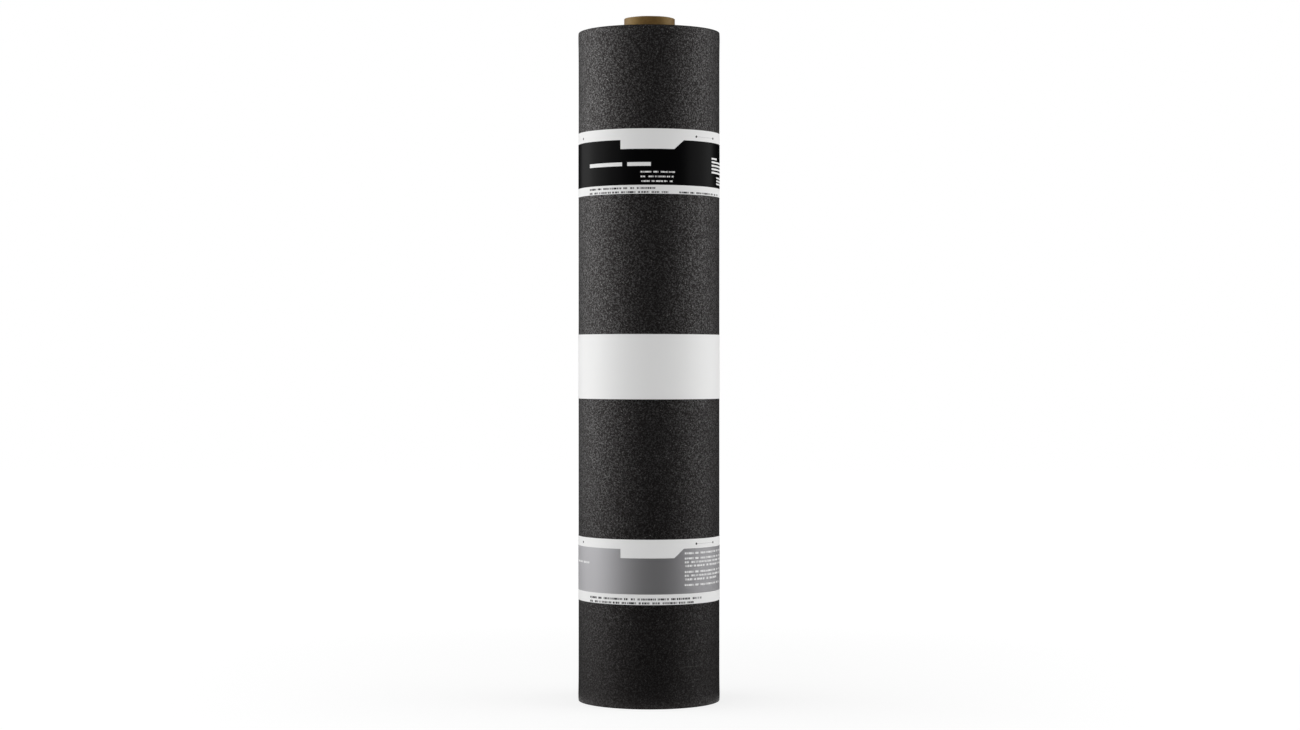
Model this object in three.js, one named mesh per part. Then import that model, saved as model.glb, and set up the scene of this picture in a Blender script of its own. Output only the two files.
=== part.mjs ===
import * as THREE from 'three';

// A roll of roofing felt standing on its end: one sheet of sanded bituminous felt wound
// on a cardboard core, and held shut by three paper bands.
// Millimetres, +Z up. The origin is on the core's axis, at the level the roll stands on.

// ---- Driving dimensions ----

const sheetWidth = 1000; // the height of the standing roll
const sheetLength = 10000;
const sheetThickness = 3;

const coreDiameter = 76;
const coreWall = 5;
const coreRise = 21; // how far the core stands out of the roll's upper end
const coreChamfer = 0.8;

const turnGrooveWidth = 0.8; // the line between two turns, across both rounded edges
const turnGrooveDepth = 1;

const bandWidth = 96;
const bandThickness = 0.3;
const bandLap = 40; // how much of a band is glued over its own other end
const bandLapOffset = 90; // from the sheet's tail back to the band's free edge
const endBandInset = 200; // from each end of the roll to the middle of its band

const fitClearance = 0.3;
const tailAzimuth = THREE.MathUtils.degToRad(90); // +Y, the back of the roll

// ---- The winding ----

// Every round surface is divided at the same azimuths, so that facets that lie on each
// other stay parallel. One division is one step of the winding.
const stepsPerTurn = 36;
const stepAngle = (2 * Math.PI) / stepsPerTurn;

const coreRadius = coreDiameter / 2;
const boreRadius = coreRadius + fitClearance;

// The sheet's middle line starts half a thickness outside the bore and gains one
// thickness a turn: length = 2 pi turns (middleStart + turns thickness / 2).
const middleStart = boreRadius + sheetThickness / 2;
const turns =
  (Math.sqrt(middleStart ** 2 + (sheetLength * sheetThickness) / Math.PI) - middleStart) /
  sheetThickness;
const lastStep = Math.round(turns * stepsPerTurn);

// The radius of the spiral that the sheet's inner face follows. Its outer face follows
// the same spiral, one turn further on.
function spiralRadius(step) {
  return boreRadius + (sheetThickness * step) / stepsPerTurn;
}

// The winding runs clockwise seen from above, and ends at the tail.
function azimuthOf(step) {
  return tailAzimuth + (lastStep - step) * stepAngle;
}

// The steps of the roll's outermost face, from just past the tail's foot to the tail's
// outer edge.
const outsideSteps = Array.from({ length: stepsPerTurn }, (_, i) => lastStep + 1 + i);

// ---- Materials ----

const feltMaterial = new THREE.MeshStandardMaterial({
  color: 0x2a2827,
  roughness: 0.9,
  metalness: 0,
});
const coreMaterial = new THREE.MeshStandardMaterial({
  color: 0x9a8458,
  roughness: 0.9,
  metalness: 0,
});
const bandMaterial = new THREE.MeshStandardMaterial({
  color: 0xe9eae8,
  roughness: 0.6,
  metalness: 0,
});

// ---- Felt ----

// The wound sheet as one solid. Turns touch all the way, so each spiral line between two
// turns is shared by both, and shows on the ends as a groove: the sheet's edge is flat
// across its crest and falls away to a valley at either face.
function woundSheet() {
  const positions = [];
  const indices = [];

  function point(step, radius, height) {
    const azimuth = azimuthOf(step);
    positions.push(radius * Math.cos(azimuth), radius * Math.sin(azimuth), height);
    return positions.length / 3 - 1;
  }

  function row(stepCount, radiusOf, height) {
    return Array.from({ length: stepCount + 1 }, (_, step) => point(step, radiusOf(step), height));
  }

  function edgeRows(endHeight, valleyHeight) {
    const crestInset = turnGrooveWidth / 2;
    return {
      valley: row(lastStep + stepsPerTurn, spiralRadius, valleyHeight),
      innerCrest: row(lastStep, (step) => spiralRadius(step) + crestInset, endHeight),
      outerCrest: row(
        lastStep,
        (step) => spiralRadius(step + stepsPerTurn) - crestInset,
        endHeight,
      ),
    };
  }

  function quad(a, b, c, d) {
    indices.push(a, b, c, a, c, d);
  }

  function fan(corners) {
    for (let i = 1; i < corners.length - 1; i++) {
      indices.push(corners[0], corners[i], corners[i + 1]);
    }
  }

  const foot = edgeRows(0, turnGrooveDepth);
  const head = edgeRows(sheetWidth, sheetWidth - turnGrooveDepth);

  // The corners of the sheet's cross-section at one step, round from the inner face.
  function section(step) {
    return [
      foot.valley[step],
      foot.innerCrest[step],
      foot.outerCrest[step],
      foot.valley[step + stepsPerTurn],
      head.valley[step + stepsPerTurn],
      head.outerCrest[step],
      head.innerCrest[step],
      head.valley[step],
    ];
  }

  // Both ends: the strips between one section and the next.
  const sideStrips = [3, 7]; // the strips along the sheet's two faces, shared with other turns
  for (let step = 0; step < lastStep; step++) {
    const here = section(step);
    const next = section(step + 1);
    for (let i = 0; i < here.length; i++) {
      const j = (i + 1) % here.length;
      if (!sideStrips.includes(i)) {
        quad(here[i], here[j], next[j], next[i]);
      }
    }
  }

  // The bore is the first turn's inner face, and the outside is the last turn's outer one.
  for (let step = 0; step < stepsPerTurn; step++) {
    quad(foot.valley[step], foot.valley[step + 1], head.valley[step + 1], head.valley[step]);
    const outer = lastStep + step;
    quad(foot.valley[outer + 1], foot.valley[outer], head.valley[outer], head.valley[outer + 1]);
  }

  // The sheet's two cut ends: the first lies against the core, the last is the tail.
  fan(section(0).reverse());
  fan(section(lastStep));

  const geometry = new THREE.BufferGeometry();
  geometry.setAttribute('position', new THREE.Float32BufferAttribute(positions, 3));
  geometry.setIndex(indices);
  geometry.computeVertexNormals();
  return geometry;
}

// ---- Core ----

// A cardboard tube, turned about its axis, with both its ends lightly broken.
function coreTube() {
  const length = sheetWidth + coreRise;
  const boreOfCore = coreRadius - coreWall;
  const profile = [
    [coreRadius, coreChamfer],
    [coreRadius, length - coreChamfer],
    [coreRadius - coreChamfer, length],
    [boreOfCore + coreChamfer, length],
    [boreOfCore, length - coreChamfer],
    [boreOfCore, coreChamfer],
    [boreOfCore + coreChamfer, 0],
    [coreRadius - coreChamfer, 0],
    [coreRadius, coreChamfer],
  ].map(([radius, height]) => new THREE.Vector2(radius, height));
  const startAngle = tailAzimuth + Math.PI / 2; // puts the tube's facets on the winding's steps
  return new THREE.LatheGeometry(profile, stepsPerTurn, startAngle).rotateX(Math.PI / 2);
}

// ---- Bands ----

function polarPoint(step, radius) {
  const azimuth = azimuthOf(step);
  return new THREE.Vector2(radius * Math.cos(azimuth), radius * Math.sin(azimuth));
}

// The band's inner face follows the roll's outside and runs straight over the tail's
// foot. Its outer face lies one thickness further out, and two where the band's free end
// is glued over its beginning: the free edge is a step, and at the other side of the lap
// the upper layer comes down on to the roll again.
function wrapBand() {
  const stepLength = spiralRadius(lastStep + stepsPerTurn) * stepAngle;
  const freeEdge = lastStep + stepsPerTurn - Math.round(bandLapOffset / stepLength);
  const lapStart = freeEdge - Math.max(1, Math.round(bandLap / stepLength));

  const faceRadius = (step) => spiralRadius(step) + fitClearance;
  const inner = outsideSteps.map((step) => polarPoint(step, faceRadius(step)));
  const outer = outsideSteps.flatMap((step) => {
    const single = polarPoint(step, faceRadius(step) + bandThickness);
    const double = polarPoint(step, faceRadius(step) + 2 * bandThickness);
    if (step === freeEdge) {
      return [double, single];
    }
    return step >= lapStart && step < freeEdge ? [double] : [single];
  });

  const shape = new THREE.Shape(outer);
  shape.holes.push(new THREE.Path(inner.reverse())); // a hole runs against its shape
  return new THREE.ExtrudeGeometry(shape, { depth: bandWidth, bevelEnabled: false });
}

// ---- Assembly ----

const roll = new THREE.Group();
roll.name = 'roofing_felt_roll';

function addPiece(name, geometry, material, height = 0) {
  const piece = new THREE.Mesh(geometry, material.clone());
  piece.name = name;
  piece.position.z = height;
  roll.add(piece);
}

addPiece('felt_roll', woundSheet(), feltMaterial);
addPiece('core_tube', coreTube(), coreMaterial);

const bandMiddles = {
  upper_band: sheetWidth - endBandInset,
  middle_band: sheetWidth / 2,
  lower_band: endBandInset,
};
for (const [name, middle] of Object.entries(bandMiddles)) {
  addPiece(name, wrapBand(), bandMaterial, middle - bandWidth / 2);
}

export default roll;
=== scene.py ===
"""The looks of a roll of roofing felt, laid out as a Blender add-on and run as a script.

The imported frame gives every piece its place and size: the felt's height and its outermost
radius, the core's radius and the heights of the bands are read from it. The properties
hold what a maker would change: the sheet, the core, the bands with their printing, and the
stage. Lengths are in metres, +Z is up, and the camera looks along +Y.
"""

import math
from typing import NamedTuple

import bpy
import numpy as np
from bpy.props import FloatProperty, FloatVectorProperty, IntProperty, PointerProperty
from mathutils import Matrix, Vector


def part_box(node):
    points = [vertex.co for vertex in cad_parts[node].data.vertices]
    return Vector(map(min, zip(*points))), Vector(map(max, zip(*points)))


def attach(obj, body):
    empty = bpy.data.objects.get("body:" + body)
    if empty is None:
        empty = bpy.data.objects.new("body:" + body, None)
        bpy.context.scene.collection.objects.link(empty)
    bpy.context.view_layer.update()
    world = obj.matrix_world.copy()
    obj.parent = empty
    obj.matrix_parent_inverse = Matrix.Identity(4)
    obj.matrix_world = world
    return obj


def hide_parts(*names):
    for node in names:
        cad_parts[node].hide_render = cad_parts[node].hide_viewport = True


bl_info = {
    "name": "Roofing Felt Roll",
    "version": (1, 0, 0),
    "blender": (4, 5, 0),
    "location": "3D View > Sidebar > Felt Roll",
    "description": "Winds a sheet of roofing felt on its core, wraps its bands and sets its stage",
    "category": "Add Mesh",
}

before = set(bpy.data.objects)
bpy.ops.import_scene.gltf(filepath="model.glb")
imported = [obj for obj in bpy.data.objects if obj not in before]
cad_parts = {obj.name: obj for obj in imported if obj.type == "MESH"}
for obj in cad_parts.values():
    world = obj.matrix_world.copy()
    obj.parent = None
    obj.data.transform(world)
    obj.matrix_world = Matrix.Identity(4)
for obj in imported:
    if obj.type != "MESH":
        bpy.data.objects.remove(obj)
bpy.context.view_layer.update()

BODY = "root"
FELT_NODE = "felt_roll"
CORE_NODE = "core_tube"
BAND_NODES = ("upper_band", "middle_band", "lower_band")
ROLL_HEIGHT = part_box(FELT_NODE)[1].z
TAIL_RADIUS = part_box(FELT_NODE)[1].y  # of the tail's outer face, which is the roll's largest
CORE_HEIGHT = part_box(CORE_NODE)[1].z
CORE_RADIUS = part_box(CORE_NODE)[1].x
MM = 0.001
FULL_TURN = 2 * math.pi
TAIL = math.radians(90)  # the azimuth at which the sheet ends, at the back
FRONT = math.radians(-90)  # the azimuth that faces the camera
ACROSS = "across_sheet"  # from -1 on the sheet's inner side to 1 on its outer side
PRINT_MAP = "print_place"  # metres along the band from the front's middle, and up from its foot
BAKE_MAP = "OFBake"  # the map on which a piece's looks are baked
CORNER_DEGREES = (0, 45, 90)  # the points of a quarter round on the sheet's edge


# ---- Properties ----
# Angles are given in degrees and kept in radians, and colours are linear.


def metres(name, default, description):
    return FloatProperty(
        name=name, description=description, default=default, min=0.0, unit="LENGTH", precision=5
    )


def degrees(name, default, description):
    return FloatProperty(
        name=name, description=description, default=math.radians(default), subtype="ANGLE"
    )


def brightness(name, default, source):
    return FloatProperty(name=name, description=f"Radiance of {source}", default=default, min=0.0)


def tone(name, default, description):
    return FloatVectorProperty(
        name=name, description=description, default=default, min=0.0, max=1.0, subtype="COLOR"
    )


class FELTROLL_PG_sheet(bpy.types.PropertyGroup):
    """The felt: one sheet, wound in a spiral."""

    thickness: metres("Thickness", 3 * MM, "Thickness of the sheet")
    core_clearance: metres("Core clearance", 0.3 * MM, "Gap between the core and the first turn")
    turn_gap: metres("Turn gap", 0.16 * MM, "Air between one turn and the next")
    edge_radius: metres("Edge radius", 0.55 * MM, "Rounding of the sheet's cut edges")
    station_step: metres("Station step", 5.5 * MM, "Distance between the mesh's sections")
    swell: metres("Swell", 0.15 * MM, "How far the outermost turn strays from its spiral")
    flare: metres("Flare", 0.45 * MM, "How far the outermost turn stands out near its ends")
    flare_peak: metres("Flare peak", 9 * MM, "Distance from the ends at which it stands out most")
    edge_wander: metres("Edge wander", 1 * MM, "How far the sheet's edges stray from level")
    tail_lift: metres("Tail lift", 0.45 * MM, "How far the tail springs up between the bands")
    tail_reach: metres("Tail reach", 60 * MM, "Length of the sheet that springs up")
    seed: IntProperty(name="Seed", description="Seed of the edges' wander", default=7)
    grain: metres("Grain", 1.1 * MM, "Size of the grains of sand")
    clump: metres("Clump", 2.3 * MM, "Size of the clumps that the grains lie in")
    rim: metres("Rim", 2.5 * MM, "Width of the bare line along the sheet's edges")
    bitumen: tone("Bitumen", (0.0036, 0.0036, 0.0036), "Colour of the coating")
    # how far the sand thins at the foot, which leaves the felt darker and duller towards the bottom
    worn: FloatProperty(name="Worn", description="Share of the sand lost at the foot", default=0.55)
    sand: tone("Sand", (0.021, 0.0215, 0.0215), "Colour of most of the sand")
    fleck: tone("Flecks", (0.2, 0.196, 0.188), "Colour of the palest grains")
    fleece: tone("Fleece", (0.1, 0.094, 0.082), "Colour of the carrier in the cut edges")
    gloss: tone("Gloss", (1.0, 0.86, 0.84), "Tint of the coating's gloss")


class FELTROLL_PG_core(bpy.types.PropertyGroup):
    """The core: a tube of wound and glued paper."""

    wall: metres("Wall", 5 * MM, "Thickness of the tube's wall")
    ply: metres("Ply", 0.625 * MM, "Thickness of one layer of paper")
    groove: metres("Groove", 0.14 * MM, "Depth of the joints between layers on the sawn end")
    groove_width: metres("Groove width", 0.14 * MM, "Width of those joints")
    edge_radius: metres("Edge radius", 0.5 * MM, "Rounding of the sawn end's edges")
    rim_wear: metres("Rim wear", 0.3 * MM, "How far the sawn end is from level")
    lead: metres("Lead", 95 * MM, "Height that one turn of the outermost strip climbs")
    segments: IntProperty(name="Segments", description="Steps round the tube", default=192)
    board: tone("Board", (0.235, 0.13, 0.044), "Colour of the paper")
    sawn: tone("Sawn end", (0.13, 0.074, 0.026), "Colour of the sawn end and the seams")
    gloss: tone("Gloss", (1.0, 0.8, 0.32), "Tint of the paper's gloss")


class FELTROLL_PG_bands(bpy.types.PropertyGroup):
    """The bands: printed paper wrapped round the roll, each glued over its own beginning."""

    thickness: metres("Thickness", 0.15 * MM, "Thickness of the paper")
    clearance: metres("Clearance", 0.08 * MM, "Gap between the felt and the paper")
    glue: metres("Glue", 0.03 * MM, "Gap between the two layers of the lap")
    start: degrees("Start", 160, "Azimuth at which the lower layer of the lap begins")
    lap: degrees("Lap", 20, "Angle by which the band's end passes its beginning")
    climb: degrees("Climb", 3, "Angle over which the paper climbs onto its beginning")
    skew: metres("Skew", 0.8 * MM, "How far the band's end stands above its beginning")
    ripple: metres("Ripple", 0.14 * MM, "Height of the ripples in the paper's edges")
    ripple_reach: metres("Ripple reach", 18 * MM, "How far the ripples reach into the paper")
    station_step: metres("Station step", 2.3 * MM, "Distance between the mesh's sections")
    rows: IntProperty(name="Rows", description="Rows of the mesh across the paper", default=15)
    repeat: metres("Repeat", 331.5 * MM, "Length of the print before it begins again")
    panel: metres("Panel", 66.1 * MM, "Height of the coloured panel")
    upper_foot: metres("Upper foot", 13.3 * MM, "White below the upper band's panel")
    lower_foot: metres("Lower foot", 15.8 * MM, "White below the lower band's panel")
    tab_left: metres("Tab left", 43.5 * MM, "From the front's middle to the white tab's left side")
    tab_right: metres("Tab right", 37 * MM, "From the front's middle to its lower right corner")
    tab_slant: metres("Tab slant", 15.5 * MM, "How far its right side leans outward on its way up")
    tab_depth: metres("Tab depth", 13.4 * MM, "How far the tab comes down into the panel")
    paper: tone("Paper", (0.83, 0.83, 0.825), "Colour of the bare paper")
    black: tone("Black ink", (0.002, 0.002, 0.0022), "Colour of the upper band's panel")
    silver: tone("Silver ink", (0.508, 0.503, 0.518), "Colour of the lower band's panel")
    small_print: tone("Small print", (0.02, 0.02, 0.022), "Colour of marks on the white")


class FELTROLL_PG_stage(bpy.types.PropertyGroup):
    """The floor, the lights and the camera."""

    distance: metres("Camera distance", 3.788, "From the core's axis to the camera")
    height: metres("Camera height", 0.5046, "From the floor to the camera")
    aside: metres("Camera aside", 0.73 * MM, "From the axis to the camera, to the right")
    lens: FloatProperty(name="Lens", description="Focal length in millimetres", default=69.95)
    shift: FloatProperty(name="Shift", description="Vertical shift of the lens", default=-0.00105)
    even_light: brightness("Even light", 0.36, "the light from all round")
    left_box: brightness("Left box", 1.63, "the left soft box")
    front_box: brightness("Front box", 0.36, "the dim box between the left one and the camera")
    right_box: brightness("Right box", 0.88, "the right soft box")
    left_fill: brightness("Left fill", 0.95, "the left fill, which reflections don't see")
    right_fill: brightness("Right fill", 1.65, "the right fill, which reflections don't see")
    front_flag: degrees("Front flag", 54, "Half the angle that the flag in front covers")
    flag_turn: degrees("Flag turn", 8, "How far both upright flags are turned to the right")
    back_flag: degrees("Back flag", 48, "Half the angle that the flag behind the roll covers")
    floor: tone("Floor", (0.8, 0.8, 0.8), "Colour of the floor")


# ---- Meshes ----


def put_object(name, data):
    made = bpy.data.objects.new(name, data)
    bpy.context.scene.collection.objects.link(made)
    return made


def put_mesh(name, points, faces, material, sharp_degrees=30):
    """A new object at the origin from points and quads, smooth but for its sharp edges."""
    mesh = bpy.data.meshes.new(name)
    mesh.from_pydata(points.reshape(-1, 3).tolist(), [], faces.tolist())
    mesh.polygons.foreach_set("use_smooth", np.ones(len(mesh.polygons), bool))
    mesh.set_sharp_from_angle(angle=math.radians(sharp_degrees))
    mesh.materials.append(material)
    mesh.update()
    return put_object(name, mesh)


def put_piece(name, points, faces, material, node, sharp_degrees=50):
    """A piece of the roll, which rides on its one body and stands for a node of the frame."""
    piece = put_mesh(name, points, faces, material, sharp_degrees)
    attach(piece, BODY)
    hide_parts(node)
    return piece


def draw_map(piece, name, places):
    """A map of a piece from the place of each corner of each face."""
    layer = piece.data.uv_layers.new(name=name)
    layer.uv.foreach_set("vector", places.astype(np.float32).ravel())


def revolved_faces(stations, around):
    """The quads of a closed section of `around` points carried all the way round."""
    i, j = np.meshgrid(np.arange(stations), np.arange(around), indexing="ij")
    here, there, beside = i * around, (i + 1) % stations * around, (j + 1) % around
    return np.stack([here + j, there + j, there + beside, here + beside], -1).reshape(-1, 4)


def swept_faces(stations, around):
    """The quads of such a section carried past open stations, with both ends closed. Its
    first half runs up one side and its second half down the other, so across each end
    point k of the first half meets point around - 1 - k."""
    walls = revolved_faces(stations, around)[:-around]
    k = np.arange(around // 2 - 1)
    cap = np.stack([k, k + 1, around - 2 - k, around - 1 - k], -1)
    return np.concatenate([walls, cap, cap[:, ::-1] + (stations - 1) * around])


def polar_points(radius, azimuth, z):
    """Points from their radii, azimuths and heights, three grids that fit each other."""
    x, y = radius * np.cos(azimuth), radius * np.sin(azimuth)
    return np.stack(np.broadcast_arrays(x, y, z), -1)


def smoothstep(x):
    """0 below 0, 1 above 1, and 3 x^2 - 2 x^3 between them."""
    x = np.clip(x, 0, 1)
    return x * x * (3 - 2 * x)


def waves(x, lengths, seed):
    """A smooth wander between 0 and 1: half of 1 plus the mean of sines of x, with the given
    wavelengths and with phases drawn from the seed."""
    phases = np.random.default_rng(seed).uniform(0, FULL_TURN, len(lengths))
    mean = sum(np.sin(FULL_TURN * x / w + p) for w, p in zip(lengths, phases)) / len(lengths)
    return (1 + mean) / 2


def node_heights(node):
    """The lowest and the highest z of a node of the frame."""
    low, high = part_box(node)
    return low.z, high.z


# ---- The winding ----


def bore_radius(sheet):
    return CORE_RADIUS + sheet.core_clearance


def turn_count(sheet):
    """How many turns the sheet makes to reach the tail's radius, which the frame gives."""
    turns = (TAIL_RADIUS - bore_radius(sheet)) / sheet.thickness - 1
    if turns < 1:
        raise ValueError("the sheet is too thick to go once round the core")
    return turns


GIRTH_WAVES = (
    # share of the swell, crests round the roll, phase at the foot, and what it gains from
    # there to the top, and from both ends to half height
    (0.55, 2, 0.7, 0.0, 1.3),
    (0.3, 5, -2.1, 2.2, 0.0),
    (0.15, 9, 0.0, 9.4, 0.0),
)


def winding_swell(azimuth, z, turn, sheet):
    """How far the winding strays outward: the waves in its girth, each the sine of its
    number of crests times the azimuth plus its phase, and near each end a flare of
    d e^(1 - d), where d is the distance from the end over that of the flare's peak. Both
    grow from nothing at the core to their full height on the last turn."""
    along = z / ROLL_HEIGHT
    wave = sum(
        share * np.sin(crests * azimuth + phase + lean * along + bow * np.sin(math.pi * along))
        for share, crests, phase, lean, bow in GIRTH_WAVES
    )
    from_end = np.minimum(z, ROLL_HEIGHT - z) / sheet.flare_peak
    flare = from_end * np.exp(1 - from_end)
    return (sheet.swell * wave + sheet.flare * flare) * turn / turn_count(sheet)


def sheet_stations(sheet):
    """Where the sheet's sections stand: their distances from its first edge, how many turns
    have been wound there, and the sheet's length. The length up to turn u is
    2 pi (m u + t u^2 / 2), where m is the first turn's middle radius and t the thickness."""
    middle = bore_radius(sheet) + sheet.thickness / 2
    turns = turn_count(sheet)
    length = FULL_TURN * (middle * turns + sheet.thickness * turns**2 / 2)
    along = np.linspace(0, length, round(length / sheet.station_step))
    rounded = sheet.edge_radius * (1 - np.cos(np.radians([30, 60, 90])))
    along = np.unique(np.concatenate([along, rounded, length - rounded]))
    turn = (np.sqrt(middle**2 + sheet.thickness * along / math.pi) - middle) / sheet.thickness
    return along, turn, length


def sheet_side(sheet):
    """One side of the sheet's section from its foot to its top: how far each point stands
    back from the flat of the side, and its height. Both corners are quarter rounds. There
    are rows at the bands' edges and between them, and closer ones where the ends flare."""
    angle = np.radians(CORNER_DEGREES)
    back, rise = sheet.edge_radius * (1 - np.sin(angle)), sheet.edge_radius * (1 - np.cos(angle))
    edges = np.sort(np.concatenate([node_heights(node) for node in BAND_NODES]))
    midway = (edges[1:-1:2] + edges[2::2]) / 2
    flared = sheet.flare_peak * np.array([0.3, 0.6, 1.0, 1.7, 2.8, 5.0])
    rows = np.sort(np.concatenate([edges, midway, flared, ROLL_HEIGHT - flared]))
    inset = np.concatenate([back, np.zeros(len(rows)), back[::-1]])
    return inset, np.concatenate([rise, rows, ROLL_HEIGHT - rise[::-1]])


def tail_lift(from_tail, z, sheet):
    """How far the tail springs off the turn below: most at its very end, and midway between
    the bands that hold it down. Near the roll's two ends the flare takes its place."""
    edges = [node_heights(node) for node in BAND_NODES]
    beside = np.min([np.maximum(low - z, z - high) for low, high in edges], axis=0)
    reach = (edges[0][0] - edges[1][1]) / 2
    free = np.clip(np.minimum(beside, np.minimum(z, ROLL_HEIGHT - z)) / reach, 0, 1)
    return sheet.tail_lift * free * smoothstep(1 - from_tail / sheet.tail_reach)


def wound_sheet(sheet):
    """The sheet as a rounded slab carried along its spiral, as a grid of points and each
    point's place across the sheet. At turn u the slab's inner face has the radius
    bore + t u, and its azimuth is TAIL + 2 pi (turns - u), so the winding runs clockwise on
    its way out and ends at the back. At both cut ends the slab narrows in a quarter round."""
    along, turn, length = (x[:, None] if np.ndim(x) else x for x in sheet_stations(sheet))
    inset, level = sheet_side(sheet)
    half = (sheet.thickness - sheet.turn_gap) / 2
    across = np.concatenate([inset - half, (half - inset)[::-1]])
    level = np.concatenate([level, level[::-1]]) / ROLL_HEIGHT

    to_cut = np.clip(np.minimum(along, length - along) / sheet.edge_radius, 0, 1)
    narrowing = sheet.edge_radius * (1 - np.sqrt(1 - (1 - to_cut) ** 2))
    outward = across * (1 - narrowing / half)

    foot = sheet.edge_wander * waves(along, (0.31, 0.83, 2.3), sheet.seed)
    top = ROLL_HEIGHT - sheet.edge_wander * waves(along, (0.23, 0.61, 1.7, 4.1), sheet.seed + 1)
    z = foot + (top - foot) * level

    azimuth = TAIL + FULL_TURN * (turn_count(sheet) - turn)
    radius = bore_radius(sheet) + sheet.thickness * (turn + 0.5) + outward
    radius = radius + winding_swell(azimuth, z, turn, sheet) + tail_lift(length - along, z, sheet)
    return polar_points(radius, azimuth, z), np.broadcast_to(across / half, radius.shape)


# ---- The core ----


def core_section(core):
    """Radius and height round the tube's wall: up the bore, out over the sawn end with a
    V groove at each joint between its layers, down the outside, and in under the foot."""
    outer, inner, height = CORE_RADIUS, CORE_RADIUS - core.wall, CORE_HEIGHT
    edge, rise = core.edge_radius, 4 * core.edge_radius
    angle = np.radians([0, 30, 60, 90])
    swell, sink = edge * (1 - np.cos(angle)), edge * (1 - np.sin(angle))
    joints = np.arange(inner + core.ply, outer - core.ply / 2, core.ply)
    across = joints[:, None] + core.groove_width / 2 * np.array([-1, 0, 1])
    depth = np.zeros_like(joints)[:, None] + core.groove * np.array([0, 1, 0])

    radius = [[inner, inner], inner + swell, across.ravel(), outer - sink, [outer, outer]]
    radius += [outer - sink[::-1], inner + swell[::-1]]
    z = [[rise, height - rise], height - sink, height - depth.ravel(), height - swell]
    z += [[height - rise, rise], swell[::-1], sink[::-1]]
    return np.concatenate(radius), np.concatenate(z)


def wound_core(core):
    """The tube as its wall's section carried round the axis. The sawn end dips in slow
    waves, which fade out one edge's depth below it."""
    radius, z = core_section(core)
    azimuth = -FULL_TURN * np.arange(core.segments)[:, None] / core.segments
    dip = core.rim_wear * waves(azimuth, (FULL_TURN, FULL_TURN / 3, FULL_TURN / 7), seed=3)
    near_top = smoothstep((z - CORE_HEIGHT + 6 * core.edge_radius) / (4 * core.edge_radius))
    return polar_points(radius, azimuth, z - dip * near_top)


# ---- The bands ----


def taut_radius(azimuth, sheet):
    """The radius of the path that taut paper takes round the roll. It lies on the last turn,
    whose radius falls by one thickness from the tail all the way round to it. From the
    tail's corner it runs straight to where it touches that turn: touch / cos(angle there)."""
    past = (azimuth - TAIL) % FULL_TURN
    short_of_turn = math.acos(1 - sheet.thickness / TAIL_RADIUS) / FULL_TURN
    touch = TAIL_RADIUS - sheet.thickness * (1 - short_of_turn)
    bridge = math.acos(touch / TAIL_RADIUS)
    on_turn = TAIL_RADIUS - sheet.thickness * past / FULL_TURN
    from_touch = np.maximum(past - (FULL_TURN - bridge), 0)
    return np.where(from_touch > 0, touch / np.cos(from_touch), on_turn)


def wrapped_band(node, bands, sheet, seed):
    """A band as a strip of paper carried clockwise along its taut path, as a grid of points
    and each point's place on the print. Its end climbs over its beginning, stands a little
    higher than it, and lifts at the very edge, and both long edges ripple outward."""
    low, high = node_heights(node)
    girth = FULL_TURN * taut_radius(FRONT, sheet)
    sweep = FULL_TURN + bands.lap
    stations = round(girth * sweep / FULL_TURN / bands.station_step)
    azimuth = bands.start - np.linspace(0, sweep, stations)[:, None]
    level = (1 - np.cos(np.linspace(0, math.pi, bands.rows))) / 2
    level = np.concatenate([level, level[::-1]])
    outer_side = np.repeat([0.0, 1.0], bands.rows)
    progress = (bands.start - azimuth) / sweep
    z = low + (high - low - bands.skew) * level + bands.skew * progress

    on_lap = smoothstep((bands.start - FULL_TURN + bands.climb - azimuth) / bands.climb)
    around = azimuth / FULL_TURN * girth
    to_end = (sweep * (1 - progress)) / FULL_TURN * girth
    near_foot, near_top, near_end = (
        smoothstep(1 - away / bands.ripple_reach) for away in (z - low, high - z, to_end)
    )
    ripple = waves(around, (0.031, 0.083, 0.21), seed) * near_foot
    ripple = ripple + waves(around, (0.037, 0.071, 0.26), seed + 1) * near_top + near_end
    rise = bands.clearance + (bands.thickness + bands.glue) * on_lap
    rise = rise + bands.thickness * outer_side + bands.ripple * ripple
    swell = winding_swell(azimuth, z, turn_count(sheet), sheet)
    radius = taut_radius(azimuth, sheet) + swell + rise
    along = (azimuth - FRONT) / FULL_TURN * girth
    place = np.stack(np.broadcast_arrays(along, z - low), -1)
    return polar_points(radius, azimuth, z), place


# ---- The maps for baking ----


class MapStrip(NamedTuple):
    """An upright strip of the map on which a piece's looks are baked, in shares of it."""

    left: float
    width: float

    def at(self, share):
        return self.left + self.width * share


OUTSIDE_STRIP = MapStrip(0.004, 0.892)
EDGE_STRIP = MapStrip(0.9, 0.078)
CUT_STRIP = MapStrip(0.98, 0.006)
PAPER_STRIP = MapStrip(0.004, 0.976)
HIDDEN_STRIP = MapStrip(0.988, 0.01)
EDGE_COLUMNS = 5  # that the sheet's long edges are folded into
EDGE_FILL = 0.88  # the share of a column that they cover
PAPER_ROWS = 3  # that a band's outer side is folded into
PAPER_FILL = 0.94  # the share of a row that it covers
PAPER_EDGE = 0.02  # the width of its thin edges on the map, as a share of the paper's


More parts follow.
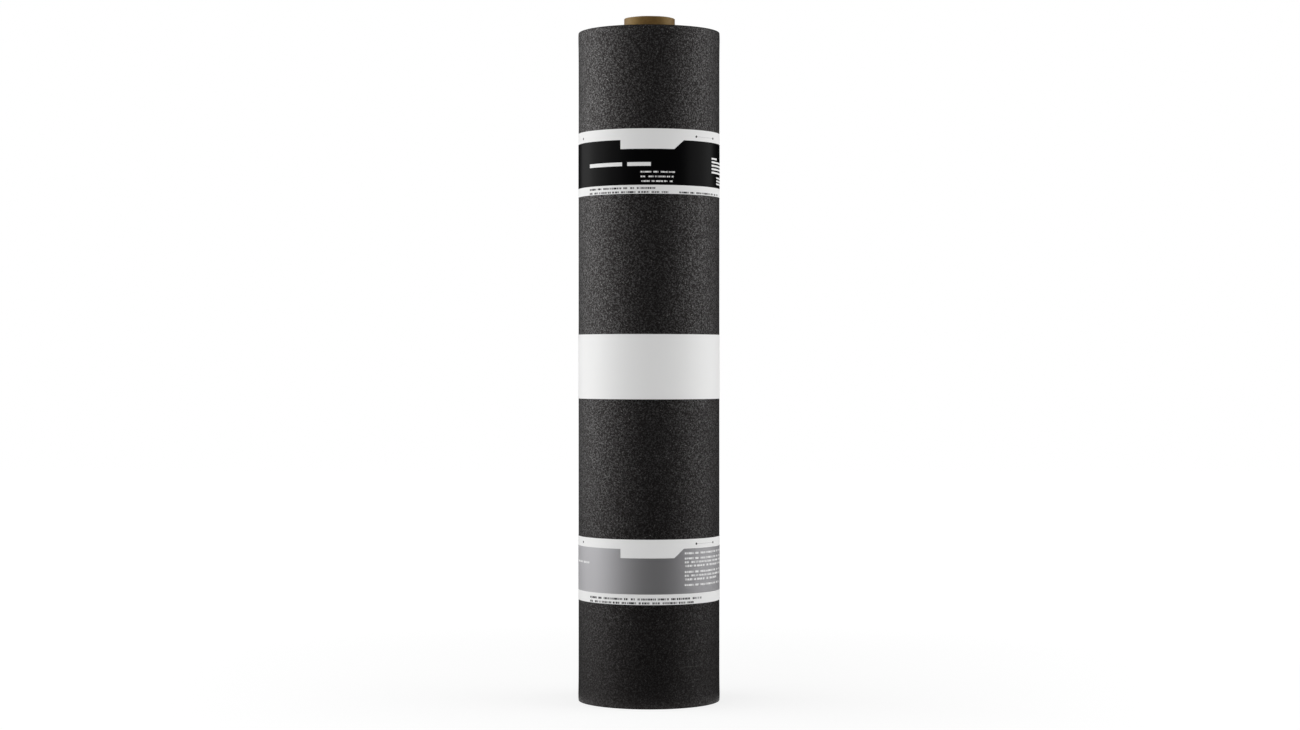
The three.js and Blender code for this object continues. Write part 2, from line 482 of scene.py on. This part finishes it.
def sheet_bake_map(points, faces, sheet):
    """Where each face's corners lie on the bake's map. The outside, which is the last turn's
    outer face, fills most of it. Beside it lie the long cut edges, folded into columns, the
    foot's on the top's, then the two cut ends, and last all the faces between the turns, on
    top of each other. The height on the roll is the height on the map, but in the columns
    that is the distance along the sheet."""
    stations, around = points.shape[:2]
    half, corner = around // 2, len(CORNER_DEGREES)
    walls, cuts = np.split(faces, [(stations - 1) * around])
    station, ring = walls // around, walls % around
    first, strip = station[:, :1], ring[:, :1]
    level = points[..., 2].ravel() / ROLL_HEIGHT

    along, turn, length = sheet_stations(sheet)
    last_turn = np.argmax(turn > turn_count(sheet) - 1) - 1
    outside = OUTSIDE_STRIP.at((length - along[station]) / (length - along[last_turn]))
    hidden = HIDDEN_STRIP.at((station - first + first % 2) / 2)
    left = np.where((strip >= half) & (first >= last_turn), outside, hidden)
    places = np.stack([left, level[walls]], -1)

    arc = math.pi / 4 * sheet.edge_radius
    flat = sheet.thickness - sheet.turn_gap - 2 * sheet.edge_radius
    across = np.cumsum([0, arc, arc, flat, arc, arc])[::-1]
    step = (strip + corner) % half
    on_edge = np.minimum(step + (ring != strip), len(across) - 1)
    column_length = length / EDGE_COLUMNS
    column = along[first] // column_length
    left = EDGE_STRIP.at((column + EDGE_FILL * across[on_edge] / across[0]) / EDGE_COLUMNS)
    height = (along[station] - column * column_length) / (column_length + sheet.station_step)
    places = np.where((step < len(across) - 1)[..., None], np.stack([left, height], -1), places)

    cut_places = np.stack([CUT_STRIP.at(cuts % around >= half), level[cuts]], -1)
    return np.concatenate([places, cut_places])


def paper_bake_map(place, faces):
    """Where each face's corners lie on the bake's map. The outer side, with the thin edges at
    its foot and its top, is folded into rows. At their right is a narrow strip with the
    inner side and the two ends on top of each other."""
    stations, around = place.shape[:2]
    half = around // 2
    walls, ends = np.split(faces, [(stations - 1) * around])
    station, ring = walls // around, walls % around
    first, strip = station[:, :1], ring[:, :1]
    level = place[..., 1].ravel() / place[..., 1].max()

    row = first * PAPER_ROWS // (stations - 1)
    past_top = (strip == half - 1) & (ring < half)
    past_foot = (strip == around - 1) & (ring < half)
    height = level[walls] + PAPER_EDGE * past_top - PAPER_EDGE * past_foot
    height = (row + 0.5 + PAPER_FILL * (height - 0.5)) / PAPER_ROWS
    left = PAPER_STRIP.at(1 + row - station * PAPER_ROWS / (stations - 1))
    hidden = HIDDEN_STRIP.at((station - first + first % 2) / 2)
    shown = (strip >= half - 1)[..., None]
    places = np.where(shown, np.stack([left, height], -1), np.stack([hidden, level[walls]], -1))

    end_places = np.stack([HIDDEN_STRIP.at(ends % around >= half), level[ends]], -1)
    return np.concatenate([places, end_places])


# ---- Node trees ----

MIX_A, MIX_B, MIX_RESULT = 6, 7, 2  # the colour sockets of a Mix node


class Nodes:
    """Wires one material's nodes. Each method returns the output of what it adds."""

    def __init__(self, owner):
        owner.use_nodes = True
        self.owner = owner
        self.tree = owner.node_tree
        self.tree.nodes.clear()

    def add(self, kind, inputs=None, **settings):
        node = self.tree.nodes.new(kind)
        for key, value in settings.items():
            setattr(node, key, value)
        for key, value in (inputs or {}).items():
            if isinstance(value, bpy.types.NodeSocket):
                self.tree.links.new(value, node.inputs[key])
            else:
                node.inputs[key].default_value = value
        return node

    def math(self, operation, *values):
        return self.add("ShaderNodeMath", dict(enumerate(values)), operation=operation).outputs[0]

    def product(self, *values):
        result = values[0]
        for value in values[1:]:
            result = self.math("MULTIPLY", result, value)
        return result

    def either(self, *masks):
        result = masks[0]
        for mask in masks[1:]:
            result = self.math("MAXIMUM", result, mask)
        return result

    def minus(self, a, b):
        return self.math("SUBTRACT", a, b)

    def invert(self, mask):
        return self.minus(1.0, mask)

    def above(self, value, low):
        return self.math("GREATER_THAN", value, low)

    def below(self, value, high):
        return self.math("LESS_THAN", value, high)

    def between(self, value, low, high):
        return self.product(self.above(value, low), self.below(value, high))

    def rescale(self, value, from_low, from_high, to_low=0.0, to_high=1.0):
        inputs = {0: value, 1: from_low, 2: from_high, 3: to_low, 4: to_high}
        return self.add("ShaderNodeMapRange", inputs).outputs[0]

    def blend(self, mask, a, b):
        """Colour a where the mask is 0 and b where it is 1."""
        inputs = {"Factor": mask, MIX_A: opaque(a), MIX_B: opaque(b)}
        return self.add("ShaderNodeMix", inputs, data_type="RGBA").outputs[MIX_RESULT]

    def tint(self, colour, factor):
        """The colour times a number."""
        grey = self.add("ShaderNodeCombineColor", {0: factor, 1: factor, 2: factor}).outputs[0]
        inputs = {"Factor": 1.0, MIX_A: opaque(colour), MIX_B: grey}
        settings = {"data_type": "RGBA", "blend_type": "MULTIPLY"}
        return self.add("ShaderNodeMix", inputs, **settings).outputs[MIX_RESULT]

    def object_place(self):
        return self.add("ShaderNodeTexCoord").outputs["Object"]

    def axes(self, place):
        return self.add("ShaderNodeSeparateXYZ", {0: place}).outputs[:3]

    def stretched(self, place, scale):
        return self.add("ShaderNodeMapping", {"Vector": place, "Scale": scale}).outputs[0]

    def noise(self, place, size, detail=2.0, roughness=0.5):
        inputs = {"Vector": place, "Scale": 1 / size, "Detail": detail, "Roughness": roughness}
        return self.add("ShaderNodeTexNoise", inputs).outputs[0]

    def line_noise(self, place, detail):
        inputs = {"W": place, "Scale": 1.0, "Detail": detail}
        return self.add("ShaderNodeTexNoise", inputs, noise_dimensions="1D").outputs[0]

    def cells(self, place, size):
        """The distance to the nearest cell's middle, that middle, and the cell's random shade."""
        node = self.add("ShaderNodeTexVoronoi", {"Vector": place, "Scale": 1 / size})
        shade = self.add("ShaderNodeSeparateColor", {0: node.outputs["Color"]}).outputs[0]
        return node.outputs["Distance"], node.outputs["Position"], shade

    def bump(self, height, depth, strength=1.0, under=None):
        inputs = {"Height": height, "Distance": depth, "Strength": strength}
        if under is not None:
            inputs["Normal"] = under
        return self.add("ShaderNodeBump", inputs).outputs[0]

    def mix_shaders(self, mask, a, b):
        """Shader a where the mask is 0 and b where it is 1."""
        return self.add("ShaderNodeMixShader", {0: mask, 1: a, 2: b}).outputs[0]

    def surface(self, inputs):
        shader = self.add("ShaderNodeBsdfPrincipled", inputs)
        self.add("ShaderNodeOutputMaterial", {"Surface": shader.outputs[0]})
        return self.owner


def opaque(colour):
    """A colour with its alpha, or a socket as it is."""
    return colour if isinstance(colour, bpy.types.NodeSocket) else (*colour, 1.0)


# ---- Materials of the felt and the core ----

FINE_GRAIN = 0.5 * MM  # size of the lumps on a grain
PATCH = 110 * MM  # size of the lighter and darker patches
SCUFF_WAVES = (9.0, 9.0, 420.0)  # of the scuffs, to a metre each way
SCUFF = 0.12  # how far a scuff hides the felt
FLECK_SHADE = 0.996  # the random shade above which a grain is a fleck
SAND_THINNING_REACH = 0.36  # the share of the height over which the sand thins towards the foot, leaving the felt darker and duller towards the bottom
FIBRE = 3.5 * MM  # size of the board's fibres
CLOUD = 15 * MM  # size of the clouds in the board's colour
SEAM = 0.4 * MM  # half the width of the board's seam


def felt_material(sheet):
    """Bitumen with sand rolled into it: separate grains of many shades, the palest of them
    flecks, which lie in clumps, with duller, darker ground between them. The sand thins
    towards the roll's foot, so the felt is darker and duller towards the bottom, and there are
    a few faint scuffs round the roll. The cut edges are bare bitumen with the thread of the
    carrier in their middle."""
    n = Nodes(bpy.data.materials.new("sanded_bitumen"))
    place = n.object_place()
    from_middle, middle, shade = n.cells(place, sheet.grain)
    fine = n.noise(place, FINE_GRAIN, roughness=0.6)
    clump = n.noise(middle, sheet.clump, detail=0.0)
    patch = n.noise(place, PATCH)
    level = n.axes(place)[2]
    from_edge = n.math("MINIMUM", level, n.minus(ROLL_HEIGHT, level))
    rim = n.rescale(from_edge, sheet.rim, sheet.rim / 2)
    # the sand thins towards the foot, so the felt is darker and duller towards the bottom
    sand_by_height = n.rescale(level, 0.0, SAND_THINNING_REACH * ROLL_HEIGHT, 1 - sheet.worn, 1.0)

    amount = n.math("ADD", n.product(shade, 0.5), n.product(clump, 1.5))
    dome = n.rescale(from_middle, 0.8, 0.4)
    sand = n.product(n.rescale(amount, 0.82, 1.42), dome, sand_by_height, n.invert(rim))
    colour = n.blend(sand, sheet.bitumen, sheet.sand)
    fleck = n.product(n.above(shade, FLECK_SHADE), dome, sand_by_height)
    colour = n.blend(fleck, colour, sheet.fleck)
    streaks = n.noise(n.stretched(place, SCUFF_WAVES), 1.0)
    scuffed = n.product(n.rescale(streaks, 0.66, 0.8), n.rescale(patch, 0.5, 0.62))
    colour = n.blend(n.product(scuffed, SCUFF), colour, sheet.fleck)
    colour = n.tint(colour, n.rescale(patch, 0.3, 0.7, 0.9, 1.1))

    across = n.math("ABSOLUTE", n.add("ShaderNodeAttribute", attribute_name=ACROSS).outputs["Fac"])
    cut = n.rescale(across, 0.97, 0.8)
    thread = n.product(n.rescale(n.math("ADD", across, n.product(fine, 0.25)), 0.34, 0.2), cut)
    colour = n.blend(n.product(cut, 0.8), colour, sheet.bitumen)
    colour = n.blend(thread, colour, sheet.fleece)

    lumps = n.minus(n.product(fine, 0.35), from_middle)
    normal = n.bump(clump, 0.5 * MM)
    normal = n.bump(lumps, 0.3 * MM, under=normal)
    roughness = n.either(n.rescale(clump, 0.35, 0.65, 0.62, 0.5), n.product(rim, 0.85))
    return n.surface({
        "Base Color": colour,
        "Roughness": roughness,
        "Specular IOR Level": 0.24,
        "Specular Tint": opaque(sheet.gloss),
        "Coat Weight": n.product(sand, n.invert(cut)),
        "Coat Roughness": 0.42,
        "Coat IOR": 1.84,
        "Coat Normal": normal,
        "Normal": normal,
    })


def board_material(core):
    """Brown board: a strip of paper wound at a slant, whose butted edges show as a thin dark
    line, with fibres along the strip, clouds in its colour and a darker sawn end."""
    n = Nodes(bpy.data.materials.new("wound_board"))
    place = n.object_place()
    x, y, z = n.axes(place)
    turn = n.math("DIVIDE", n.math("ARCTAN2", y, x), FULL_TURN)
    climb = n.minus(n.math("DIVIDE", z, core.lead), turn)
    off_seam = n.math("ABSOLUTE", n.minus(n.math("FRACT", climb), 0.5))
    seam = n.below(off_seam, SEAM / core.lead)

    fibres = n.noise(n.stretched(place, (1.0, 1.0, 5.0)), FIBRE, detail=6.0, roughness=0.7)
    clouds = n.noise(place, CLOUD, detail=3.0)
    colour = n.blend(n.rescale(fibres, 0.42, 0.72), core.board, core.sawn)
    colour = n.tint(colour, n.rescale(clouds, 0.3, 0.7, 0.86, 1.16))

    top = CORE_HEIGHT - core.rim_wear - core.groove - 0.6 * core.edge_radius
    sawn = n.rescale(z, top - 0.3 * MM, top)
    worn = n.product(n.either(seam, sawn), 0.7)
    colour = n.blend(worn, colour, core.sawn)
    normal = n.bump(n.minus(fibres, n.product(seam, 1.5)), 0.12 * MM, 0.6)
    return n.surface({
        "Base Color": colour,
        "Roughness": 0.5,
        "Specular IOR Level": 0.72,
        "Specular Tint": opaque(core.gloss),
        "Normal": normal,
    })


# ---- The printing ----


class DashRows(NamedTuple):
    """Rows of dashes that stand where the printing has lines of small type. All lengths are
    in millimetres."""

    left: float  # along the band from the front's middle
    width: float  # of the longest row
    top: float  # the first row's middle, above the panel's foot
    height: float  # of a dash
    pitch: float = 5.5
    dash: float = 5.0  # a dash's mean length with its gap, or 0 for an unbroken bar
    rows: int = 1


UPPER_PALE = (
    DashRows(-103, 62, 30.5, 5.5, dash=0),
    DashRows(-33, 35, 30.5, 5.5, dash=0),
    DashRows(-13, 53, 19.1, 2.2, rows=3, pitch=6.8),
    DashRows(112, 20, 42.6, 2.6, dash=0),
    DashRows(112, 50, 37.5, 2.6, rows=4, pitch=5.1, dash=0),
    DashRows(130, 33, 15, 2.3, rows=3, pitch=4.5, dash=0),
)
UPPER_DARK = (
    DashRows(-103, 146, -4.6, 2.7, rows=2, pitch=5.8),
    DashRows(45, 118, -10.4, 2.6),
)
LOWER_PALE = (
    DashRows(54, 108, 59.1, 2.9),
    DashRows(54, 108, 51.5, 2.8, rows=3),
    DashRows(54, 106, 31.8, 2.8, rows=3),
    DashRows(54, 92, 12.5, 2.8),
    DashRows(-152, 58, 43.2, 2.8),
)
LOWER_DARK = (DashRows(-102, 232, -7.1, 2.9, rows=2, pitch=5.7),)


class Printing(NamedTuple):
    """What stands on a band's ink and below its panel, and how they shine."""

    pale: tuple
    dark: tuple
    roughness: float  # of the ink
    metal: float  # of the ink
    specular: float  # of the ink and the paper


BLACK_PRINT = Printing(UPPER_PALE, UPPER_DARK, roughness=0.3, metal=0.0, specular=0.037)
SILVER_PRINT = Printing(LOWER_PALE, LOWER_DARK, roughness=0.65, metal=0.9, specular=0.2)
STRIPE_DOTS = (75 * MM, 116 * MM, 208 * MM)  # along the band from the front's middle
DOT_RISE = 6.3 * MM  # above the panel's top
DOT_RADIUS = 1.7 * MM
DOTTING = 2 * MM  # length of a dot of the dotted line, with its gap
DOTTED_HALF = 0.3 * MM  # half its height
RAGGED = 0.3  # the share by which the shortest row of a block falls short
GAP_LEVEL = 0.4  # the noise below which a row has a gap
STROKE = 1.1 * MM  # length of the strokes that a dash is made of, with their gaps
STROKE_LEVEL = 0.42  # the noise below which a dash has a gap between two strokes
ROW_STEP = 31.7  # how far on in the noise the next row begins, in dashes
PAPER_ROUGHNESS = 0.5
PAPER_FIBRE, PAPER_WAVE, PRESSED_GRAIN = 0.8 * MM, 30 * MM, 3 * MM


def dash_rows(n, u, v, block, repeat):
    """A mask of one block of rows: each begins at the block's left edge, is broken into
    dashes by a noise along it and those into strokes by a finer one, and ends raggedly.
    u and v are measured from the front's middle and from the panel's foot."""
    left, width, top, height, pitch, dash = (size * MM for size in block[:6])
    along = n.math("WRAP", n.minus(u, left), repeat, 0.0)
    down = n.math("DIVIDE", n.minus(top + pitch / 2, v), pitch)
    row = n.math("FLOOR", down)
    off_row = n.math("ABSOLUTE", n.minus(n.math("FRACT", down), 0.5))
    inked = n.product(n.below(off_row, height / pitch / 2), n.between(row, -0.5, block.rows - 0.5))
    if not dash:
        return n.product(inked, n.below(along, width))
    place = {"W": n.math("ADD", row, top)}
    chance = n.add("ShaderNodeTexWhiteNoise", place, noise_dimensions="1D").outputs[0]
    reach = n.rescale(chance, 0.0, 1.0, width * (1 - RAGGED), width)
    step = n.math("ADD", n.math("DIVIDE", along, dash), n.product(row, ROW_STEP))
    breaks = n.line_noise(step, 1.0)
    strokes = n.line_noise(n.product(step, dash / STROKE), 0.0)
    dashed = n.product(inked, n.below(along, reach), n.above(breaks, GAP_LEVEL))
    return n.product(dashed, n.above(strokes, STROKE_LEVEL))


def stripe_dots(n, u, v, bands):
    """A mask of the round marks in the upper white stripe, the first two of them joined by a
    faint dotted line."""
    rise = n.minus(v, bands.panel + DOT_RISE)
    first, second = STRIPE_DOTS[:2]
    dots = []
    for place in STRIPE_DOTS:
        aside = n.math("WRAP", n.minus(u, place), bands.repeat / 2, -bands.repeat / 2)
        square = n.math("ADD", n.product(aside, aside), n.product(rise, rise))
        dots.append(n.below(square, DOT_RADIUS**2))
    along = n.math("WRAP", n.minus(u, first), bands.repeat, 0.0)
    dotted = n.below(n.math("FRACT", n.math("DIVIDE", along, DOTTING)), 0.5)
    level = n.below(n.math("ABSOLUTE", rise), DOTTED_HALF)
    line = n.product(dotted, n.below(along, second - first), level, 0.6)
    return n.either(line, *dots)


def paper_base(n, bands):
    """The bare paper's colour and normal: fine fibres, faint waves, and the felt's grain
    faintly pressed through from below."""
    place = n.object_place()
    fibres = n.noise(place, PAPER_FIBRE, detail=4.0, roughness=0.6)
    colour = n.tint(bands.paper, n.rescale(fibres, 0.3, 0.7, 0.985, 1.01))
    normal = n.bump(n.noise(place, PAPER_WAVE), 0.3 * MM, 0.3)
    normal = n.bump(n.noise(place, PRESSED_GRAIN), 0.05 * MM, 0.4, normal)
    return colour, normal


def bare_material(bands):
    """White paper with nothing printed on it."""
    n = Nodes(bpy.data.materials.new("bare_paper"))
    colour, normal = paper_base(n, bands)
    return n.surface({
        "Base Color": colour,
        "Roughness": PAPER_ROUGHNESS,
        "Specular IOR Level": 0.3,
        "Normal": normal,
    })


def printed_material(name, bands, foot, ink, printing):
    """White paper printed with a panel of one ink between two white stripes. A white tab
    comes down into the panel's top, pale rows of dashes stand on the ink and dark rows on
    the lower stripe, and dots on the upper one. The foot is the white below the panel."""
    n = Nodes(bpy.data.materials.new(name))
    colour, normal = paper_base(n, bands)
    u, up, _ = n.axes(n.add("ShaderNodeUVMap", uv_map=PRINT_MAP).outputs[0])
    v = n.minus(up, foot)

    aside = n.math("WRAP", u, bands.repeat / 2, -bands.repeat / 2)
    tab_foot, tab_right = bands.panel - bands.tab_depth, bands.tab_right
    slanted = n.rescale(v, tab_foot, bands.panel, tab_right, tab_right + bands.tab_slant)
    tab = n.product(n.between(aside, -bands.tab_left, slanted), n.above(v, tab_foot))
    panel = n.product(n.between(v, 0.0, bands.panel), n.invert(tab))
    pale_marks = n.either(*(dash_rows(n, u, v, block, bands.repeat) for block in printing.pale))
    inked = n.product(panel, n.invert(pale_marks))
    dark_marks = n.either(
        stripe_dots(n, u, v, bands),
        *(dash_rows(n, u, v, block, bands.repeat) for block in printing.dark),
    )
    colour = n.blend(inked, colour, ink)
    colour = n.blend(dark_marks, colour, bands.small_print)
    return n.surface({
        "Base Color": colour,
        "Roughness": n.rescale(inked, 0.0, 1.0, PAPER_ROUGHNESS, printing.roughness),
        "Metallic": n.product(inked, printing.metal) if printing.metal else 0.0,
        "Specular IOR Level": printing.specular,
        "Normal": normal,
    })


# ---- The stage ----

BACKDROP_FLAGS = ("Is Camera Ray", "Is Glossy Ray", "Is Transmission Ray")


def seen_directly(n):
    """1 for the rays that show the background: from the camera, a gloss or a clear body."""
    path = n.add("ShaderNodeLightPath")
    return n.either(*(path.outputs[flag] for flag in BACKDROP_FLAGS))


def light_world(stage):
    """A white backdrop for what is seen, and an even grey fill for the light it gives."""
    world = bpy.data.worlds.new("white_studio")
    bpy.context.scene.world = world
    n = Nodes(world)
    fill = n.add("ShaderNodeBackground", {"Color": opaque((1, 1, 1)), "Strength": stage.even_light})
    white = n.add("ShaderNodeBackground", {"Color": opaque((1, 1, 1)), "Strength": 1.0})
    mix = n.mix_shaders(seen_directly(n), fill.outputs[0], white.outputs[0])
    n.add("ShaderNodeOutputWorld", {"Surface": mix})


def floor_material(stage):
    """A pale floor. As a background it is white and keeps the roll's shadow, which fades
    out away from the roll: near it, part of the white comes from the light that falls on
    it. For the light that the floor throws back it is plain and diffuse."""
    near_reach, far_reach = 0.15, 1.2  # from the axis, where the shadow starts to fade and ends
    white_level, lit_share, shade_share = 1.01, 0.72, 0.35
    n = Nodes(bpy.data.materials.new("pale_floor"))
    away = n.add("ShaderNodeVectorMath", {0: n.object_place()}, operation="LENGTH").outputs["Value"]
    near = n.rescale(away, near_reach, far_reach, shade_share, 0.0)
    glow = n.minus(white_level, n.product(near, lit_share))
    shade = n.add("ShaderNodeBsdfDiffuse", {"Color": n.tint(stage.floor, near)})
    white = n.add("ShaderNodeEmission", {"Strength": glow})
    shown = n.add("ShaderNodeAddShader", {0: shade.outputs[0], 1: white.outputs[0]})
    plain = n.add("ShaderNodeBsdfDiffuse", {"Color": opaque(stage.floor)})
    mix = n.mix_shaders(seen_directly(n), plain.outputs[0], shown.outputs[0])
    n.add("ShaderNodeOutputMaterial", {"Surface": mix})
    return n.owner


def lay_floor(stage):
    half = 8.0
    corners = half * np.array([[-1, -1, 0], [1, -1, 0], [1, 1, 0], [-1, 1, 0]])
    floor = put_mesh("floor", corners, np.array([[0, 1, 2, 3]]), floor_material(stage))


def hang_flags(stage):
    """Dark flags that only reflections see, each a straight line between two points (radius,
    height) carried round the roll's axis: one upright behind the camera, one upright behind
    the roll, and one on the floor all round the roll."""
    n = Nodes(bpy.data.materials.new("black_flag"))
    black = n.add("ShaderNodeEmission", {"Strength": 0.0})
    n.add("ShaderNodeOutputMaterial", {"Surface": black.outputs[0]})
    near, far, top, above_floor, steps = 0.12, 3.0, 3.2, 2 * MM, 36
    upright, flat = ((far, 0.0), (far, top)), ((near, above_floor), (far, above_floor))
    front, back = FRONT + stage.flag_turn, TAIL - stage.flag_turn
    flags = {
        "front_flag": (upright, front - stage.front_flag, front + stage.front_flag),
        "back_flag": (upright, back - stage.back_flag, back + stage.back_flag),
        "floor_flag": (flat, 0.0, FULL_TURN),
    }
    for name, (ends, start, end) in flags.items():
        radius, height = np.array(ends).T
        points = polar_points(radius, np.linspace(start, end, steps)[:, None], height)
        first = 2 * np.arange(steps - 1)[:, None]
        flag = put_mesh(name, points, first + np.array([0, 1, 3, 2]), n.owner)
        for ray in ("camera", "diffuse", "transmission", "volume_scatter", "shadow"):
            setattr(flag, "visible_" + ray, False)


def hang_soft_box(name, radiance, turn, width, middle=1.0, height=2.0, in_gloss=True):
    """A rectangular lamp that faces the roll, turned round it by so many degrees from the
    front to the right. An area lamp of power P and area A has the radiance P / (pi A)."""
    distance, target = 1.5, (0, 0, 0.6)
    azimuth = FRONT + math.radians(turn)
    place = Vector((distance * math.cos(azimuth), distance * math.sin(azimuth), middle))
    light = bpy.data.lights.new(name, "AREA")
    light.shape = "RECTANGLE"
    light.size, light.size_y = width, height
    light.energy = radiance * math.pi * width * height
    lamp = put_object(name, light)
    lamp.location = place
    lamp.rotation_euler = (Vector(target) - place).to_track_quat("-Z", "Y").to_euler()
    lamp.visible_camera = False
    lamp.visible_glossy = in_gloss


def place_camera(stage):
    """A level camera that looks along +Y."""
    camera = bpy.data.cameras.new("camera")
    camera.lens = stage.lens
    camera.shift_y = stage.shift
    viewer = put_object("camera", camera)
    viewer.location = (stage.aside, -stage.distance, stage.height)
    viewer.rotation_euler = (math.radians(90), 0, 0)
    bpy.context.scene.camera = viewer


# ---- Operators ----


class FELTROLL_OT_wind_sheet(bpy.types.Operator):
    """Wind the sheet of felt round the core"""

    bl_idname = "feltroll.wind_sheet"
    bl_label = "Wind the sheet"

    def execute(self, context):
        sheet = context.scene.felt_sheet
        points, across = wound_sheet(sheet)
        faces = swept_faces(*points.shape[:2])
        piece = put_piece("wound_felt", points, faces, felt_material(sheet), FELT_NODE)
        attribute = piece.data.attributes.new(ACROSS, "FLOAT", "POINT")
        attribute.data.foreach_set("value", across.astype(np.float32).ravel())
        draw_map(piece, BAKE_MAP, sheet_bake_map(points, faces, sheet))
        return {"FINISHED"}


class FELTROLL_OT_make_core(bpy.types.Operator):
    """Make the core, a tube of wound paper"""

    bl_idname = "feltroll.make_core"
    bl_label = "Make the core"

    def execute(self, context):
        core = context.scene.felt_core
        points = wound_core(core)
        faces = revolved_faces(*points.shape[:2])
        material = board_material(core)
        put_piece("board_core", points, faces, material, CORE_NODE, sharp_degrees=35)
        return {"FINISHED"}


class FELTROLL_OT_wrap_bands(bpy.types.Operator):
    """Wrap the three paper bands round the roll"""

    bl_idname = "feltroll.wrap_bands"
    bl_label = "Wrap the bands"

    def execute(self, context):
        sheet, bands = context.scene.felt_sheet, context.scene.felt_bands
        papers = (
            printed_material("black_print", bands, bands.upper_foot, bands.black, BLACK_PRINT),
            bare_material(bands),
            printed_material("silver_print", bands, bands.lower_foot, bands.silver, SILVER_PRINT),
        )
        for number, (node, paper) in enumerate(zip(BAND_NODES, papers)):
            points, place = wrapped_band(node, bands, sheet, seed=10 * number)
            faces = swept_faces(*points.shape[:2])
            name = node.replace("band", "paper")
            piece = put_piece(name, points, faces, paper, node, sharp_degrees=40)
            draw_map(piece, PRINT_MAP, place.reshape(-1, 2)[faces])
            draw_map(piece, BAKE_MAP, paper_bake_map(place, faces))
        return {"FINISHED"}


class FELTROLL_OT_set_stage(bpy.types.Operator):
    """Lay the floor, hang the lights and place the camera"""

    bl_idname = "feltroll.set_stage"
    bl_label = "Set the stage"

    def execute(self, context):
        stage = context.scene.felt_stage
        context.scene.view_settings.view_transform = "Standard"
        light_world(stage)
        lay_floor(stage)
        hang_flags(stage)
        low = {"middle": 0.45, "height": 0.9, "in_gloss": False}
        hang_soft_box("left_soft_box", stage.left_box, turn=-94, width=1.5)
        hang_soft_box("front_soft_box", stage.front_box, turn=-48, width=1.0)
        hang_soft_box("right_soft_box", stage.right_box, turn=90, width=1.6)
        hang_soft_box("left_fill", stage.left_fill, turn=-39, width=1.3, **low)
        hang_soft_box("right_fill", stage.right_fill, turn=80, width=1.6, **low)
        place_camera(stage)
        return {"FINISHED"}


# ---- Panel and registration ----

SETTINGS = {
    "felt_sheet": (FELTROLL_PG_sheet, FELTROLL_OT_wind_sheet),
    "felt_core": (FELTROLL_PG_core, FELTROLL_OT_make_core),
    "felt_bands": (FELTROLL_PG_bands, FELTROLL_OT_wrap_bands),
    "felt_stage": (FELTROLL_PG_stage, FELTROLL_OT_set_stage),
}


class FELTROLL_PT_roll(bpy.types.Panel):
    """Lists each piece's operator with its properties."""

    bl_idname = "FELTROLL_PT_roll"
    bl_label = "Felt Roll"
    bl_space_type = "VIEW_3D"
    bl_region_type = "UI"
    bl_category = "Felt Roll"

    def draw(self, context):
        for name, (group, operator) in SETTINGS.items():
            box = self.layout.box()
            box.operator(operator.bl_idname)
            for field in group.__annotations__:
                box.prop(getattr(context.scene, name), field)


CLASSES = (*(c for pair in SETTINGS.values() for c in pair), FELTROLL_PT_roll)


def register():
    for cls in CLASSES:
        bpy.utils.register_class(cls)
    for name, (group, _) in SETTINGS.items():
        setattr(bpy.types.Scene, name, PointerProperty(type=group))


def unregister():
    for name in SETTINGS:
        delattr(bpy.types.Scene, name)
    for cls in reversed(CLASSES):
        bpy.utils.unregister_class(cls)


def main():
    register()
    bpy.ops.feltroll.wind_sheet()
    bpy.ops.feltroll.make_core()
    bpy.ops.feltroll.wrap_bands()
    bpy.ops.feltroll.set_stage()


if __name__ == "__main__":
    main()
